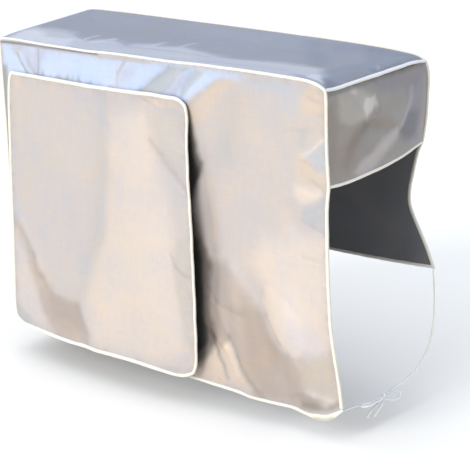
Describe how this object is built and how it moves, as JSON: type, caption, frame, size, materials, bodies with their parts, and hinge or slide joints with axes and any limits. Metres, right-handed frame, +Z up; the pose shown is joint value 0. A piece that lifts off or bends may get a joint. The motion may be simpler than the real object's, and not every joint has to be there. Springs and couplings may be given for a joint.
{
  "type": "air conditioner cover",
  "caption": "Fitted slip-over cloth cover for an outdoor air conditioner unit, open below, with a front flap, bound edges and two side ties in a bow.",
  "frame": {"origin": "centre of the underside of the top, where the cover rests on what it covers", "axes": "+X to the right seen from the front, +Y from the front to the back, +Z up"},
  "size_m": [0.8171, 0.3191, 0.6073],
  "materials": {
    "silver_cloth": "silver-coated plain weave, semi-gloss",
    "cream_binding": "matte woven bias tape with a line of stitches",
    "tie_cord": "matte woven narrow tape"
  },
  "bodies": {
    "root": {"top_panel": "silver_cloth", "front_panel": "silver_cloth", "flap": "silver_cloth", "right_panel": "silver_cloth", "left_panel": "silver_cloth", "back_panel": "silver_cloth", "binding_front": "cream_binding", "binding_rear": "cream_binding", "binding_top_left": "cream_binding", "binding_top_right": "cream_binding", "binding_hem_front": "cream_binding", "binding_hem_left": "cream_binding", "binding_hem_right": "cream_binding", "binding_hem_back": "cream_binding", "binding_flap": "cream_binding", "tie_front": "tie_cord", "tie_rear": "tie_cord", "tie_loop": "tie_cord", "tie_end_long": "tie_cord", "tie_end_short": "tie_cord", "tie_knot": "tie_cord"}
  },
  "joints": []
}
